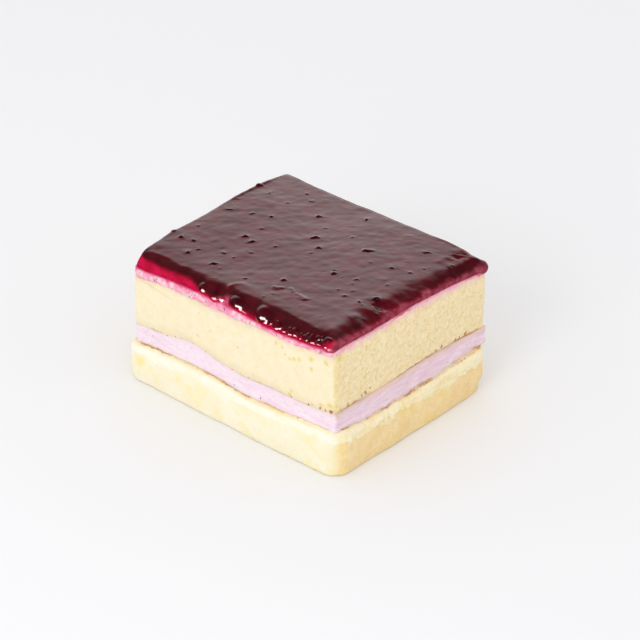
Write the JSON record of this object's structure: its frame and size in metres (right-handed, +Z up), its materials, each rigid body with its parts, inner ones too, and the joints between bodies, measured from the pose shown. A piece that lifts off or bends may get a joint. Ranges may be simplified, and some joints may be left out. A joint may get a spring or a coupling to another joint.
{
  "type": "layer cake slice",
  "caption": "Cut rectangular slice of layer cake: two pale sponges with lilac berry cream between them and a glossy dark berry jelly on a thin cream film.",
  "frame": {"origin": "middle of the slice's box on the face it rests on", "axes": "+X along the broad cut face, +Y from that face to the back, +Z up through the layers"},
  "size_m": [0.0956, 0.0776, 0.0503],
  "materials": {
    "base_sponge": "open crumb sponge, pale at the top and yellow below",
    "cream_filling": "smooth lilac cream with knife streaks",
    "upper_sponge": "fine crumb sponge with small pores",
    "cream_film": "thin pink-stained cream",
    "berry_jelly": "wet dark berry jelly, crimson where thin"
  },
  "bodies": {
    "root": {"base_sponge": "base_sponge", "cream_filling": "cream_filling", "upper_sponge": "upper_sponge", "cream_film": "cream_film", "berry_jelly": "berry_jelly"}
  },
  "joints": []
}
